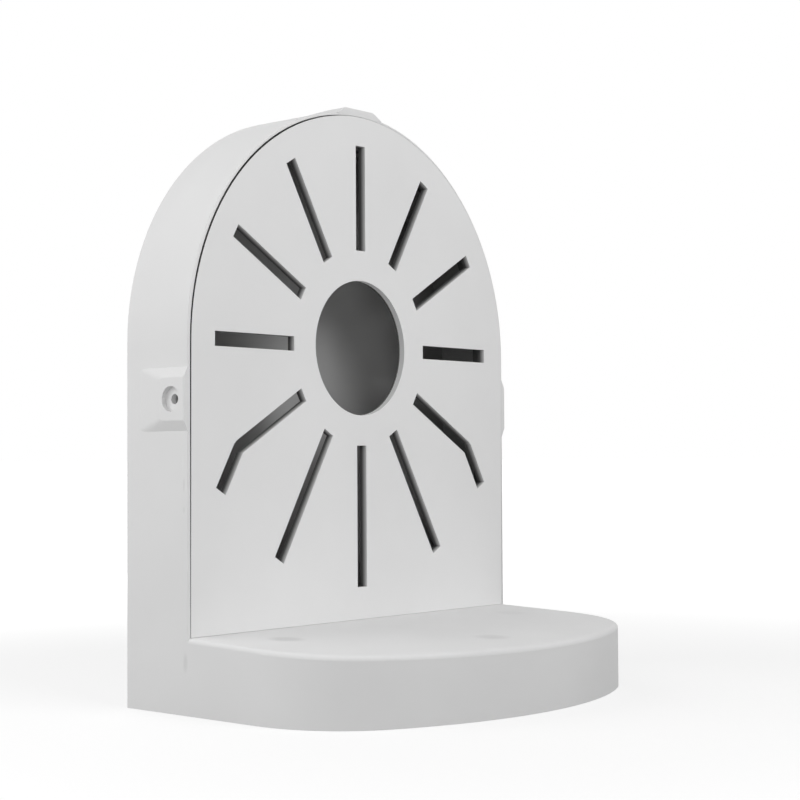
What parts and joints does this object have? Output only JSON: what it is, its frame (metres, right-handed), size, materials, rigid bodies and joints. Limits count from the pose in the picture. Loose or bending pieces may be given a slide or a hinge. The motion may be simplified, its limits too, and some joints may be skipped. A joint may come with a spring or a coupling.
{
  "type": "camera wall bracket junction box",
  "caption": "L-shaped plastic wall bracket for a dome camera: arched hollow arm with a slotted camera plate, short D-shaped foot with a wall plate.",
  "frame": {"origin": "centre of the wall plate's cable entry, in the plane of the wall, straight below the camera plate's front face", "axes": "+Z away from the wall along the arm, -Y the way the camera plate faces, X across the plate"},
  "size_m": [0.1138, 0.0736, 0.1367],
  "materials": {
    "housing_plastic": "satin white moulded ABS",
    "plate_plastic": "satin white moulded ABS",
    "wall_plate_plastic": "satin white moulded ABS",
    "zinc_steel": "zinc plated steel"
  },
  "bodies": {
    "root": {"housing": "housing_plastic", "camera_plate": "plate_plastic", "wall_plate": "wall_plate_plastic", "wall_plate_screws": "zinc_steel"}
  },
  "joints": []
}
